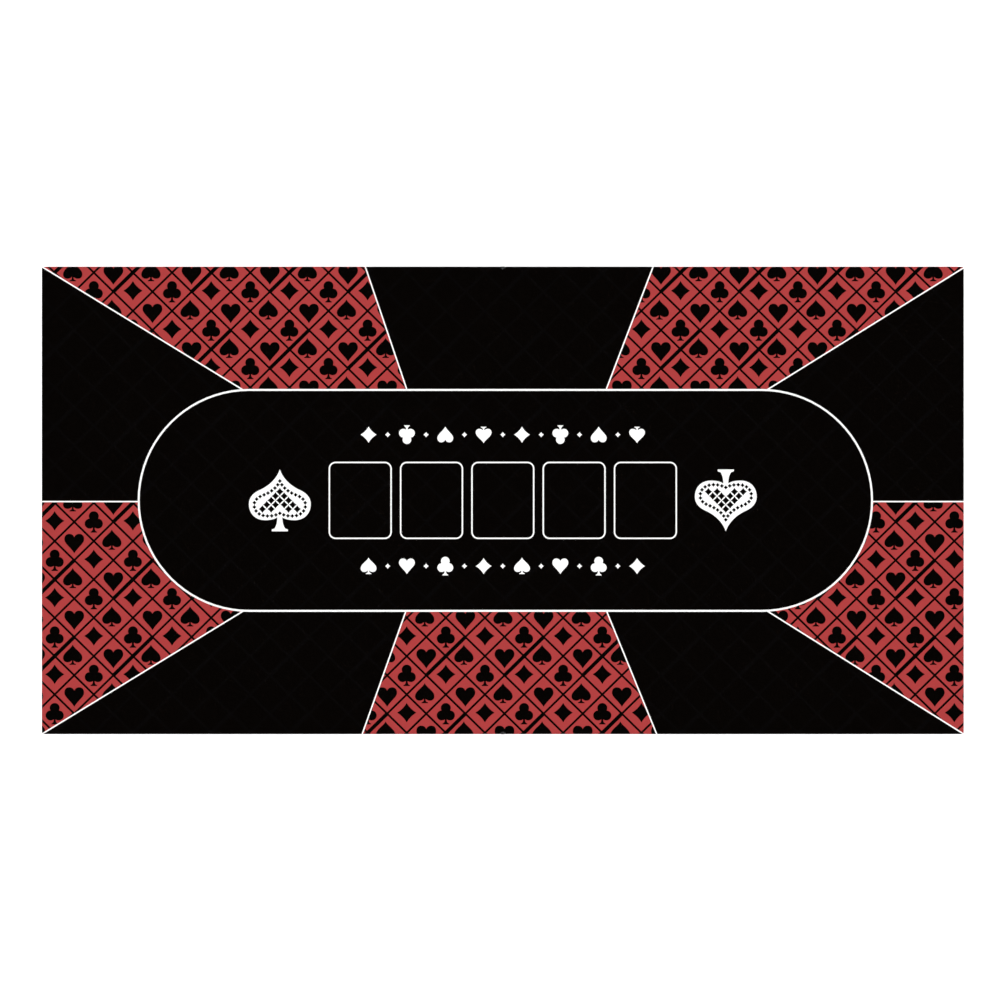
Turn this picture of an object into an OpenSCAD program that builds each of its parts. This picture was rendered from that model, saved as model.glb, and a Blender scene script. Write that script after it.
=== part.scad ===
// Two-part folding poker table top.
// Frame: X runs along the length, across the fold; Y across the width; Z up.
// Origin: on the resting surface, under the middle of the fold.

/* [Table top] */
// Length of the open top, across the fold
top_len = 1803.4; // [1500:0.1:2200]
// Width of the top, along the fold
top_wid = 914.4; // [700:0.1:1100]
// Thickness of each board
board_t = 12; // [10:0.5:18]
// Thickness of the foam under the cloth
foam_t = 3; // [2:0.5:6]
// Thickness of the printed cloth
cloth_t = 0.8; // [0.5:0.1:1.5]
// Radius of the outer corners in plan
corner_r = 3; // [2:0.5:12]
// Width of the cloth turned back under the board
return_w = 30; // [24:1:40]
// Thickness of the non-woven backing sheet
backing_t = 0.6; // [0.4:0.1:0.6]
// Thickness of the edge band on each side of the fold
band_t = 1; // [0.6:0.1:2]

/* [Feet] */
// Diameter of a rubber foot
foot_d = 30; // [22:1:34]
// Height of a rubber foot
foot_h = 9.8; // [9.8:0.1:14]
// Feet along the length of each half
feet_long = 3; // [2:1:4]

/* [Fold hinges] */
// Length of a hinge leaf
leaf_len = 80; // [70:1:110]
// Height of a hinge leaf
leaf_h = 8; // [7:0.5:9]
// Thickness of one hinge ear
ear_t = 1.5; // [1.2:0.1:1.8]
// Radius of a hinge ear round its rivet
ear_r = 3.5; // [3.2:0.1:4.5]
// Diameter of the hinge rivet
rivet_d = 3; // [2.5:0.1:3.5]
// Height of the fold axis above the playing face
axis_lift = 0.3; // [0.3:0.1:0.5]

/* [Carry handles] */
// Distance between the centre lines of the two arms
handle_span = 110; // [100:1:140]
// From the pivot to the centre line of the grip
handle_reach = 82; // [78:1:95]
// Width of the handle's section
handle_w = 8; // [7:0.5:9]
// Thickness of the handle's section
handle_t = 6.4; // [5:0.1:6.4]
// Diameter of a handle pin
pin_d = 4; // [3:0.1:4]
// From the short edge in to the handle's pivot
pivot_inset = 42; // [41:1:50]

/* [Fasteners] */
// Shank diameter of every screw
screw_d = 3.5; // [3:0.1:4]
// Crown width of a staple
staple_w = 12.8; // [9:0.1:14]
// Staples along each edge of a half
staples_per_edge = 15; // [8:1:24]

/* [Hidden] */
$fn = 64;
half_l = top_len / 2;
half_w = top_wid / 2;
eps = 0.01;
// clearances
seam_gap = 0.05;
cloth_gap = 0.1;
foam_gap = 0.3;
pocket_gap = 0.05;
fixed_gap = 0.02;
running_gap = 0.06;
// heights of the layers, from the resting surface up
backing_z = foot_h;
board_z = backing_z + backing_t;
foam_z = board_z + board_t;
face_z = foam_z + foam_t + cloth_t;
return_z = board_z - cloth_t;
lap_z = return_z - backing_t;
axis_z = face_z + axis_lift;
// backing sheet and its lap over the cloth return
lap_inset = 8;
lap_end = cloth_t + return_w + backing_t + 0.4;
backing_seam = 3;
// hinges
notch_x = 6;
notch_y = 4.8;
leaf_gap = 0.3;
ear_gap = 0.5;
washer_t = 0.4;
leaf_t = 2 * ear_t + ear_gap;
leaf_mid_z = board_z + board_t / 2;
leaf_low_z = leaf_mid_z - leaf_h / 2;
leaf_top_z = leaf_mid_z + leaf_h / 2;
leaf_screws_x = [20, 42, 64];
leaf_screw_len = 20;
csk_d = 7;
csk_h = 1.8;
rivet_head_d = 5;
rivet_head_h = 0.8;
rivet_tail_d = 5.6;
rivet_tail_h = 0.9;
rivet_tail_gap = 0.1;
// feet
foot_inset = 62;
foot_seat_d = 14;
foot_seat_z = 5.6;
washer_d = 13;
foot_washer_t = 1;
foot_screw_len = 16;
pan_d = 7;
pan_h = 2.3;
// handles
pivot_x = half_l - pivot_inset;
pivot_z = foot_h - 5.2;
handle_bend = 12;
eye_r = 3.4;
grip_w = 13;
grip_t = 8;
grip_len = 82;
grip_ribs = 10;
rib_depth = 0.6;
section_r = 2;
bracket_t = 1.4;
bracket_ear_t = 1.8;
bracket_ear_r = 3.8;
bracket_x = 16;
bracket_y = 34;
bracket_screw_y = 12;
bracket_screw_len = 12;
bracket_csk_h = 1.2;
bracket_csk_d = 6.2;
pin_head_d = 6;
pin_head_h = 0.8;
arm_gap = 0.4;
// staples
staple_wire = [1, 0.5];
staple_leg = 7.5;
staple_inset = 18;
staple_end = 50;
seam_staple_x = 14;

// ---- helpers ----

// Evenly spaced positions from a to b
function spread(a, b, n) = [for (i = [0 : n - 1]) a + (b - a) * i / (n - 1)];

// Plan of the left half, inset from its three outer edges and ending at x = -seam
module half_plan(inset, seam) {
    r = max(corner_r - inset, 0);
    x0 = -half_l + inset;
    w = half_w - inset;
    translate([x0 + r, -w]) square([-x0 - r - seam, 2 * w]);
    translate([x0, -w + r]) square([-x0 - seam, 2 * (w - r)]);
    if (r > 0) {
        for (s = [-1, 1]) translate([x0 + r, s * (w - r)]) circle(r);
    }
}

module half_slab(inset, seam, z, t) {
    translate([0, 0, z]) linear_extrude(t) half_plan(inset, seam);
}

// Room for the hinges at both ends of the fold: a deep notch above the board for the ears and
// the rivet's tail, and a pocket in the board's edge for the leaf and its riser
module hinge_room() {
    pocket_y = leaf_t + pocket_gap;
    pocket_z = leaf_low_z - pocket_gap;
    for (s = [0, 1]) mirror([0, s, 0]) {
        translate([-notch_x, -half_w - 1, foam_z]) cube([notch_x + 1, notch_y + 1, axis_z]);
        translate([-notch_x, -half_w - 1, pocket_z]) cube([notch_x + 1, pocket_y + 1, board_t]);
        edgewise(-1, pocket_y) leaf_plan(pocket_gap);
    }
}

// A copy at the place of each foot of the left half
module at_feet() {
    for (x = spread(-half_l + foot_inset, -foot_inset, feet_long)) {
        for (y = [-1, 1]) translate([x, y * (half_w - foot_inset), 0]) children();
    }
}

// A copy at each bracket of the left handle
module at_brackets() {
    for (s = [-1, 1]) translate([-pivot_x, s * handle_span / 2, 0]) children();
}

// A copy at each screw of the left hinge leaves, with +Z into the board
module at_leaf_screws() {
    for (s = [0, 1], x = leaf_screws_x) {
        mirror([0, s, 0]) translate([-x, -half_w, leaf_mid_z]) rotate([-90, 0, 0]) children();
    }
}

// Countersunk screw with a cross recess, head face at z = 0, shank along +Z
module csk_screw(len, head_d, head_h) {
    difference() {
        union() {
            cylinder(d1 = head_d, d2 = screw_d, h = head_h);
            cylinder(d = screw_d, h = len - screw_d / 2);
            translate([0, 0, len - screw_d / 2 - eps])
                cylinder(d1 = screw_d, d2 = 0.6, h = screw_d / 2);
        }
        cross_recess(head_d);
    }
}

// Room that a countersunk screw takes in the pieces it holds
module csk_hole(len, head_d, head_h) {
    grown = 2 * fixed_gap;
    translate([0, 0, -1]) cylinder(d = head_d + grown, h = 1 + eps);
    cylinder(d1 = head_d + grown, d2 = screw_d + grown, h = head_h);
    cylinder(d = screw_d + grown, h = len + 0.2);
}

module cross_recess(head_d) {
    for (a = [0, 90]) rotate([0, 0, a]) cube([head_d * 0.55, 0.9, 2], center = true);
}

// Handle section: rounded bar, w across and t thick
module bar_section(w, t) {
    square([w - 2 * section_r, t], center = true);
    square([w, t - 2 * section_r], center = true);
    for (i = [-1, 1], j = [-1, 1]) {
        translate([i * (w / 2 - section_r), j * (t / 2 - section_r)]) circle(section_r);
    }
}

// ---- one half, drawn as the left one ----

module half_board() {
    color("burlywood") difference() {
        half_slab(cloth_t, band_t + seam_gap, board_z, board_t);
        hinge_room();
        at_feet() foot_screw_hole();
        at_leaf_screws() csk_hole(leaf_screw_len, csk_d, csk_h);
        at_brackets() bracket_screw_places() csk_hole(bracket_screw_len, bracket_csk_d, bracket_csk_h);
    }
}

module half_foam() {
    color("dimgray") difference() {
        half_slab(cloth_t, foam_gap, foam_z, foam_t);
        hinge_room();
    }
}

module half_cloth() {
    color([0.03, 0.03, 0.03]) difference() {
        half_slab(0, cloth_gap, return_z, face_z - return_z);
        half_slab(cloth_t, -1, board_z, board_t + foam_t);
        half_slab(cloth_t + return_w, -1, 0, board_z + eps);
        hinge_room();
    }
}

module half_backing() {
    color([0.12, 0.12, 0.12]) difference() {
        union() {
            half_slab(lap_inset, backing_seam, lap_z, backing_t);
            half_slab(lap_end - backing_t, backing_seam, lap_z, board_z - lap_z);
        }
        half_slab(lap_end, -1, 0, backing_z);
        hinge_room();
        at_feet() foot_screw_hole();
        at_brackets() bracket_screw_places() csk_hole(bracket_screw_len, bracket_csk_d, bracket_csk_h);
    }
}

module half_seam_band() {
    end = half_w - leaf_t - 2 * pocket_gap;
    color([0.05, 0.05, 0.05])
        translate([-band_t - seam_gap, -end, board_z]) cube([band_t, 2 * end, board_t]);
}

// Staple with its crown on the face at z = 0, legs along +Z
module staple() {
    translate([-staple_w / 2, -staple_wire[0] / 2, -staple_wire[1]])
        cube([staple_w, staple_wire[0], staple_wire[1]]);
    for (s = [-1, 1]) {
        translate([s * (staple_w - staple_wire[1]) / 2, 0, staple_leg / 2 - eps])
            cube([staple_wire[1], staple_wire[0], staple_leg], center = true);
    }
}

module half_staples() {
    y_end = half_w - staple_end;
    x_end = half_l - staple_end;
    color("silver") {
        for (y = spread(-y_end, y_end, staples_per_edge)) {
            translate([-half_l + staple_inset, y, lap_z]) rotate([0, 0, 90]) staple();
            translate([-seam_staple_x, y, backing_z]) rotate([0, 0, 90]) staple();
        }
        for (s = [-1, 1], x = spread(-x_end, -leaf_len - 2 * staple_w, staples_per_edge)) {
            translate([x, s * (half_w - staple_inset), lap_z]) staple();
        }
    }
}

// ---- feet ----

module foot_screw_hole() {
    translate([0, 0, foot_seat_z]) cylinder(d = screw_d + 2 * fixed_gap, h = foot_screw_len);
}

module half_feet() {
    color([0.08, 0.08, 0.08]) at_feet() difference() {
        rotate_extrude() union() {
            polygon([
                [0, 0], [foot_d / 2 - 1.6, 0], [foot_d / 2, 1.6],
                [foot_d / 2, 3], [foot_d / 2 - 2, foot_h], [0, foot_h]
            ]);
            translate([foot_d / 2 - 1.6, 1.6]) circle(1.6);
        }
        translate([0, 0, -1]) cylinder(d = foot_seat_d, h = foot_seat_z + 1);
        foot_screw_hole();
    }
}

module half_foot_washers() {
    color("silver") at_feet() translate([0, 0, foot_seat_z - foot_washer_t]) difference() {
        cylinder(d = washer_d, h = foot_washer_t);
        translate([0, 0, -1]) cylinder(d = screw_d + 0.7, h = foot_washer_t + 2);
    }
}

module half_foot_screws() {
    head_z = foot_seat_z - foot_washer_t - pan_h;
    tip = screw_d / 2;
    color("silver") at_feet() difference() {
        union() {
            translate([0, 0, head_z]) rotate_extrude() intersection() {
                translate([0, pan_h]) circle(pan_d / 2);
                translate([0, 0.3]) square([pan_d, pan_h - 0.3]);
            }
            translate([0, 0, head_z + pan_h - eps])
                cylinder(d = screw_d, h = foot_screw_len - tip);
            translate([0, 0, head_z + pan_h + foot_screw_len - tip - 2 * eps])
                cylinder(d1 = screw_d, d2 = 0.6, h = tip);
        }
        translate([0, 0, head_z]) cross_recess(pan_d);
    }
}

// ---- fold hinges, drawn for the front edge ----

// Outline of a left leaf with its round end, in X and Z, or of its pocket with the gap round it
module leaf_plan(gap) {
    r = leaf_h / 2;
    end = gap > 0 ? 1 : -leaf_gap;
    translate([-leaf_len + r, leaf_mid_z]) circle(r + gap);
    translate([-leaf_len + r, leaf_mid_z - r - gap]) square([leaf_len - r + end, leaf_h + 2 * gap]);
}

module ear_plan() {
    polygon([
        [-leaf_gap, leaf_low_z], [-notch_x + leaf_gap, leaf_low_z],
        [-notch_x + leaf_gap, leaf_top_z + 1], [-ear_r, axis_z], [-leaf_gap, axis_z]
    ]);
    translate([0, axis_z]) circle(ear_r);
}

// Extrudes an X-Z outline from depth y0 to y1 behind the front edge
module edgewise(y0, y1) {
    translate([0, -half_w + y1, 0]) rotate([90, 0, 0]) linear_extrude(y1 - y0) children();
}

// A cylinder about the fold axis, from depth y0 to y1 behind the front edge
module on_axis(d, y0, y1) {
    translate([0, -half_w + y1, axis_z]) rotate([90, 0, 0]) cylinder(d = d, h = y1 - y0);
}

module leaf_screw_holes() {
    at_leaf_screws() csk_hole(leaf_screw_len, csk_d, csk_h);
}

module rivet_head(gap, proud = 0) {
    translate([0, -half_w - proud, axis_z]) rotate([-90, 0, 0])
        cylinder(d1 = rivet_head_d + 2 * gap, d2 = rivet_d + 2 * gap, h = rivet_head_h + proud);
}

module hinge_left_leaf() {
    color([0.07, 0.07, 0.07]) difference() {
        union() {
            edgewise(0, leaf_t) leaf_plan(0);
            edgewise(0, ear_t) ear_plan();
        }
        leaf_screw_holes();
        on_axis(rivet_d + 2 * fixed_gap, -1, leaf_t + 1);
        rivet_head(fixed_gap, eps);
    }
}

module hinge_right_leaf() {
    color([0.07, 0.07, 0.07]) mirror([1, 0, 0]) difference() {
        union() {
            edgewise(0, leaf_t) leaf_plan(0);
            edgewise(ear_t + ear_gap, leaf_t) ear_plan();
        }
        leaf_screw_holes();
        on_axis(rivet_d + 2 * running_gap, -1, leaf_t + 1);
    }
}

module hinge_rivet() {
    tail = leaf_t + rivet_tail_gap;
    color("dimgray") {
        rivet_head(0);
        on_axis(rivet_d, 0, tail + eps);
        on_axis(rivet_tail_d, tail, tail + rivet_tail_h);
    }
}

module hinge_washer() {
    color("ivory") difference() {
        on_axis(2 * ear_r - 0.4, ear_t, ear_t + washer_t);
        on_axis(rivet_d + 2 * fixed_gap, 0, leaf_t);
    }
}

module half_hinge_screws() {
    color("dimgray") at_leaf_screws() csk_screw(leaf_screw_len, csk_d, csk_h);
}

// ---- carry handle of the left half, folded in under the board ----

module bracket_screw_places() {
    for (s = [-1, 1]) {
        translate([0, s * bracket_screw_y, foot_h - bracket_t]) children();
    }
}

module half_handle_brackets() {
    inner = handle_w + 2 * arm_gap;
    color([0.07, 0.07, 0.07]) at_brackets() difference() {
        union() {
            translate([-bracket_x / 2, -bracket_y / 2, foot_h - bracket_t])
                cube([bracket_x, bracket_y, bracket_t]);
            for (s = [-1, 1]) {
                translate([0, s * (inner + bracket_ear_t) / 2, pivot_z]) {
                    rotate([90, 0, 0]) cylinder(r = bracket_ear_r, h = bracket_ear_t, center = true);
                    translate([-bracket_ear_r, -bracket_ear_t / 2, 0])
                        cube([2 * bracket_ear_r, bracket_ear_t, foot_h - bracket_t / 2 - pivot_z]);
                }
            }
        }
        translate([0, 0, pivot_z]) rotate([90, 0, 0])
            cylinder(d = pin_d + 2 * fixed_gap, h = bracket_y, center = true);
        bracket_screw_places() csk_hole(bracket_screw_len, bracket_csk_d, bracket_csk_h);
    }
}

module half_handle_screws() {
    color("silver") at_brackets() bracket_screw_places()
        csk_screw(bracket_screw_len, bracket_csk_d, bracket_csk_h);
}

module half_handle_pins() {
    reach = handle_w / 2 + arm_gap + bracket_ear_t;
    color("silver") at_brackets() translate([0, 0, pivot_z]) rotate([90, 0, 0]) {
        cylinder(d = pin_d, h = 2 * reach + 0.6, center = true);
        for (s = [0, 1]) mirror([0, 0, s]) translate([0, 0, reach])
            cylinder(d1 = pin_head_d, d2 = pin_head_d - 1, h = pin_head_h);
    }
}

// Bent bar of the handle: two arms, two bends and the bar between them
module handle_bar(w, t) {
    arm = handle_reach - handle_bend;
    bar = handle_span - 2 * handle_bend;
    translate([arm, bar / 2, 0]) rotate([90, 0, 0]) {
        linear_extrude(bar) translate([handle_bend, 0]) bar_section(w, t);
    }
    for (s = [0, 1]) mirror([0, s, 0]) {
        translate([0, handle_span / 2, 0]) rotate([90, 0, 90])
            linear_extrude(arm) bar_section(w, t);
        translate([arm, handle_span / 2 - handle_bend, 0])
            rotate_extrude(angle = 90) translate([handle_bend, 0]) bar_section(w, t);
    }
}

module half_handle() {
    color([0.1, 0.1, 0.1]) translate([-pivot_x, 0, pivot_z]) difference() {
        union() {
            handle_bar(handle_w, handle_t);
            for (s = [-1, 1]) translate([0, s * handle_span / 2, 0]) rotate([90, 0, 0])
                cylinder(r = eye_r, h = handle_w, center = true);
        }
        for (s = [-1, 1]) translate([0, s * handle_span / 2, 0]) rotate([90, 0, 0])
            cylinder(d = pin_d + 2 * running_gap, h = 2 * handle_w, center = true);
    }
}

// Ribbed rubber sleeve on the handle's bar
module half_handle_grip() {
    pitch = grip_len / (2 * grip_ribs - 1);
    color([0.05, 0.05, 0.05]) translate([-pivot_x + handle_reach, 0, pivot_z]) difference() {
        union() {
            grip_length(grip_len, grip_w - 2 * rib_depth, grip_t - 2 * rib_depth);
            for (i = [0 : grip_ribs - 1]) {
                translate([0, -grip_len / 2 + (2 * i + 0.5) * pitch, 0])
                    grip_length(pitch, grip_w, grip_t);
            }
        }
        grip_length(grip_len + 2, handle_w, handle_t);
    }
}

module grip_length(len, w, t) {
    translate([0, len / 2, 0]) rotate([90, 0, 0]) linear_extrude(len) bar_section(w, t);
}

// ---- named sub-parts ----

module to_right() { mirror([1, 0, 0]) children(); }
module to_back() { mirror([0, 1, 0]) children(); }

module left_board() half_board();
module left_foam() half_foam();
module left_cloth() half_cloth();
module left_backing() half_backing();
module left_seam_band() half_seam_band();
module left_staples() half_staples();
module left_feet() half_feet();
module left_foot_washers() half_foot_washers();
module left_foot_screws() half_foot_screws();
module left_handle_brackets() half_handle_brackets();
module left_handle_screws() half_handle_screws();
module left_handle_pins() half_handle_pins();
module left_handle() half_handle();
module left_handle_grip() half_handle_grip();
module left_hinge_screws() half_hinge_screws();

module right_board() to_right() half_board();
module right_foam() to_right() half_foam();
module right_cloth() to_right() half_cloth();
module right_backing() to_right() half_backing();
module right_seam_band() to_right() half_seam_band();
module right_staples() to_right() half_staples();
module right_feet() to_right() half_feet();
module right_foot_washers() to_right() half_foot_washers();
module right_foot_screws() to_right() half_foot_screws();
module right_handle_brackets() to_right() half_handle_brackets();
module right_handle_screws() to_right() half_handle_screws();
module right_handle_pins() to_right() half_handle_pins();
module right_handle() to_right() half_handle();
module right_handle_grip() to_right() half_handle_grip();
module right_hinge_screws() to_right() half_hinge_screws();

module front_hinge_left_leaf() hinge_left_leaf();
module front_hinge_right_leaf() hinge_right_leaf();
module front_hinge_rivet() hinge_rivet();
module front_hinge_washer() hinge_washer();
module back_hinge_left_leaf() to_back() hinge_left_leaf();
module back_hinge_right_leaf() to_back() hinge_right_leaf();
module back_hinge_rivet() to_back() hinge_rivet();
module back_hinge_washer() to_back() hinge_washer();

left_board();
left_foam();
left_cloth();
left_backing();
left_seam_band();
left_staples();
left_feet();
left_foot_washers();
left_foot_screws();
left_handle_brackets();
left_handle_screws();
left_handle_pins();
left_handle();
left_handle_grip();
left_hinge_screws();
right_board();
right_foam();
right_cloth();
right_backing();
right_seam_band();
right_staples();
right_feet();
right_foot_washers();
right_foot_screws();
right_handle_brackets();
right_handle_screws();
right_handle_pins();
right_handle();
right_handle_grip();
right_hinge_screws();
front_hinge_left_leaf();
front_hinge_right_leaf();
front_hinge_rivet();
front_hinge_washer();
back_hinge_left_leaf();
back_hinge_right_leaf();
back_hinge_rivet();
back_hinge_washer();
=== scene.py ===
"""Folding poker table top: the looks of the part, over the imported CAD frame.

Frame: X runs along the length, across the fold; Y across the width; Z up.
The print is drawn in millimetres on the flat cloth, and the cloth is then wrapped over the boards.
"""

import math

import bpy
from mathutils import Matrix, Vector, noise
from mathutils.geometry import delaunay_2d_cdt


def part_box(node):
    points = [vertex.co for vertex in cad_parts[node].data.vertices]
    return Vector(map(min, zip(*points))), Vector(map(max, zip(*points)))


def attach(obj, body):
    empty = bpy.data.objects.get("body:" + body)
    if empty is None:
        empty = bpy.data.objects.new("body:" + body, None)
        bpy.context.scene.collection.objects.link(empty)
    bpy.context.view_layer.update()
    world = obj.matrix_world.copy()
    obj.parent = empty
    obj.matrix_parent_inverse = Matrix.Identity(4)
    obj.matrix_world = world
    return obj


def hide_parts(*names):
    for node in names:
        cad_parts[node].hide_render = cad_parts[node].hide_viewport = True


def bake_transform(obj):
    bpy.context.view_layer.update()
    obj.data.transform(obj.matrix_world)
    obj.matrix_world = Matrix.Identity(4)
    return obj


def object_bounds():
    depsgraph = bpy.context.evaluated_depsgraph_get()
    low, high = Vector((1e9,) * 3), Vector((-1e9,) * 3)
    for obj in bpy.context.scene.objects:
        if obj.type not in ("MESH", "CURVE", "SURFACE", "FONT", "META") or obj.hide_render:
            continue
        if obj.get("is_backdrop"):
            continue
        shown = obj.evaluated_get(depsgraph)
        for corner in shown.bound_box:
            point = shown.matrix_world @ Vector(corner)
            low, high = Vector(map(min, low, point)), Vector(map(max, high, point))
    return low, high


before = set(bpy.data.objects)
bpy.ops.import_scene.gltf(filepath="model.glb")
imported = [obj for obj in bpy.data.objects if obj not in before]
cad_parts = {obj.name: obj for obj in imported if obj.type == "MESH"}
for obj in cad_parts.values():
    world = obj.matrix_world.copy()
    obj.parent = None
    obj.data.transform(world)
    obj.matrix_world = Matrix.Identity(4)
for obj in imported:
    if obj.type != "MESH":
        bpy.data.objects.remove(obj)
box_at_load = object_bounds()

MM = 0.001
SIDE_SIGN = {"left": -1, "right": 1}

# ---- sizes taken from the frame, in millimetres ----


def box_mm(node):
    low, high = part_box(node)
    return low / MM, high / MM


cloth_low, cloth_high = box_mm("left_cloth")
foam_low, foam_high = box_mm("left_foam")
backing_low, backing_high = box_mm("left_backing")
leaf_low = box_mm("front_hinge_left_leaf")[0]

HALF_L = -cloth_low.x
HALF_W = -cloth_low.y
FACE_Z = cloth_high.z
RETURN_Z = cloth_low.z
SEAM_GAP = -cloth_high.x

# The cloth's run from the playing face to the free end of its return under the board
ROLL = 3.0
HEM = 1.0
SIDE = FACE_Z - ROLL - HEM - RETURN_Z
RETURN_END = 30.8
ROLL_STEPS = 6
HEM_STEPS = 4
CORNER_STEPS = 12
FLAT_X = HALF_L - ROLL
FLAT_Y = HALF_W - ROLL
RUN_SIDE = ROLL * math.pi / 2
RUN_HEM = RUN_SIDE + SIDE
RUN_RETURN = RUN_HEM + HEM * math.pi / 2
RUN_MITRE = RUN_RETURN + ROLL - HEM
RUN_END = RUN_MITRE + RETURN_END - ROLL

# Openings in the cloth at the two ends of the fold
NOTCH_X = 6.0
NOTCH_Y = HALF_W - 4.8
LEAF_GAP = 0.05
LEAF_END = -leaf_low.x + LEAF_GAP
LEAF_FOOT_Z = leaf_low.z - LEAF_GAP
LEAF_R = 4.0 + LEAF_GAP  # half the height of a leaf, whose ends are round
LEAF_STEPS = 8

# The strip of cloth that bends over the fold
FOLD_STRIP = 5.5
FOLD_BEND = 0.8
FOLD_COLUMNS = 8

# The four corners of a rectangle, counterclockwise
CORNERS = ((-1, -1), (1, -1), (1, 1), (-1, 1))

# ---- layout of the print, in millimetres from the middle of the face ----

BLEED = 60.0
INKS = ("black", "tonal", "white", "red")

TRACK_X = 5.0
TRACK_HALF_L = 717.0
TRACK_HALF_W = 216.0
TRACK_LINE = 3.75
TRACK_EDGE = TRACK_HALF_W + TRACK_LINE / 2

CARD_COUNT = 5
CARD_PITCH = 139.4
CARD_SIZE = (123.5, 151.2)
CARD_CORNER = 13.7
CARD_LINE = 2.8

SPOKE_LINE = 2.6
# Where each white spoke leaves the edge, and where it meets the track: round from the top left
SPOKES = {
    "top_left": ((-HALF_L, HALF_W), (-511.0, TRACK_EDGE)),
    "top_mid_left": ((-269.0, HALF_W), (-188.0, TRACK_EDGE)),
    "top_mid_right": ((294.0, HALF_W), (202.5, TRACK_EDGE)),
    "top_right": ((HALF_L, HALF_W - 2), (519.5, TRACK_EDGE)),
    "right": ((HALF_L, -2.3), (TRACK_X + TRACK_HALF_L, -2.3)),
    "bottom_right": ((HALF_L, -HALF_W), (519.5, -TRACK_EDGE)),
    "bottom_mid_right": ((301.0, -HALF_W), (203.5, -TRACK_EDGE)),
    "bottom_mid_left": ((-275.0, -HALF_W), (-190.0, -TRACK_EDGE)),
    "bottom_left": ((-HALF_L, -HALF_W), (-510.0, -TRACK_EDGE)),
    "left": ((-HALF_L, -2.3), (TRACK_X - TRACK_HALF_L, -2.3)),
}
RED_PANELS = [
    ("top_left", "top_mid_left"),
    ("top_mid_right", "top_right"),
    ("right", "bottom_right"),
    ("bottom_mid_right", "bottom_mid_left"),
    ("bottom_left", "left"),
]

# The lattice of suits that runs under the whole print
SUIT_PITCH = 76.48
ROW_PITCH = 37.5
FIRST_SUIT = (-570.3, 407.9)
THIN_RULE = 4.0
THICK_RULE = 7.4
SUIT_SIZE = {"spade": 38.0, "heart": 38.8, "club": 35.6, "diamond": 37.6}
SUIT_SHIFT = {"spade": (-3, 2), "heart": (0, -4.5), "club": (0, 0), "diamond": (0, 2)}
SUIT_REACH = 24  # no suit reaches further than this from the middle of its cell

# The two rows of card pips and the two large spades inside the track
PIP_ROW_Y = 128.5
PIP_PITCH = 37.5
PIP_SIZE = 31.0
PIP_ORDER = ("spade", "heart", "club", "diamond")
PIP_COUNT = 15
CREST_X = 436.0
CREST_SIZE = 121.0
# The diamonds in a large spade: a border, and a field on a grid inside it
BORDER_COUNT = 32
BORDER_SCALE = (0.83, 0.69)
BORDER_DROP = 0.032
BORDER_DIAMOND = 8.7
FIELD_PITCH = 17.0
FIELD_DIAMOND = 15.0
FIELD_REACH = 4
FIELD_GAP = 10.5


# ---- outlines ----


def curve(a, b, c, d, steps=8):
    """Points on a cubic Bezier from a, without its end point d."""
    points = []
    for i in range(steps):
        t = i / steps
        weights = ((1 - t) ** 3, 3 * t * (1 - t) ** 2, 3 * t * t * (1 - t), t**3)
        points.append(
            tuple(sum(w * p[k] for w, p in zip(weights, (a, b, c, d))) for k in (0, 1))
        )
    return points


def mirrored(right):
    """Whole outline from its right-hand side, which runs from top to bottom."""
    left = [(-x, y) for x, y in reversed(right) if x > 1e-6]
    return right + left


def ring(radius, steps=20, centre=(0.0, 0.0)):
    turns = [2 * math.pi * i / steps for i in range(steps)]
    return [(centre[0] + radius * math.cos(a), centre[1] + radius * math.sin(a)) for a in turns]


def spade_body(steps=8):
    return mirrored(
        curve((0, 0.54), (0.08, 0.32), (0.5, 0.13), (0.5, -0.14), steps)
        + curve((0.5, -0.14), (0.5, -0.27), (0.41, -0.37), (0.27, -0.37), steps)
        + curve((0.27, -0.37), (0.17, -0.37), (0.09, -0.34), (0, -0.22), steps)
    )


def spade():
    flare = curve((0.045, -0.3), (0.045, -0.38), (0.06, -0.43), (0.17, -0.455))
    stem = mirrored([(0.045, -0.2), *flare, (0.17, -0.455), (0.17, -0.5)])
    return [spade_body(), stem]


def crest_body(steps=10):
    """A broad spade without its stem, for the large spades."""
    return mirrored(
        curve((0, 0.5), (0.05, 0.35), (0.18, 0.23), (0.33, 0.165), steps)
        + curve((0.33, 0.165), (0.45, 0.11), (0.5, 0.03), (0.5, -0.06), steps)
        + curve((0.5, -0.06), (0.5, -0.21), (0.4, -0.32), (0.24, -0.32), steps)
        + curve((0.24, -0.32), (0.13, -0.32), (0.06, -0.3), (0, -0.24), steps)
    )


def crest_stem():
    flare = curve((0.04, -0.28), (0.045, -0.37), (0.06, -0.43), (0.1, -0.47))
    return mirrored([(0.04, -0.25), *flare, (0.13, -0.47), (0.13, -0.5)])


def heart():
    right = (
        curve((0, 0.31), (0.04, 0.42), (0.13, 0.48), (0.26, 0.48))
        + curve((0.26, 0.48), (0.41, 0.48), (0.5, 0.36), (0.5, 0.2))
        + curve((0.5, 0.2), (0.5, 0), (0.2, -0.18), (0, -0.5))
        + [(0, -0.5)]
    )
    return [mirrored(right)]


def club():
    lobes = [ring(0.275, 28, c) for c in ((0, 0.313), (-0.225, -0.096), (0.225, -0.096))]
    middle = [(-0.15, 0.1), (-0.15, -0.2), (0.15, -0.2), (0.15, 0.1)]
    flare = curve((0.05, -0.2), (0.045, -0.42), (0.07, -0.51), (0.18, -0.54))
    stem = mirrored([(0.05, 0.0), *flare, (0.18, -0.54), (0.18, -0.588)])
    return [*lobes, middle, stem]


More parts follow.
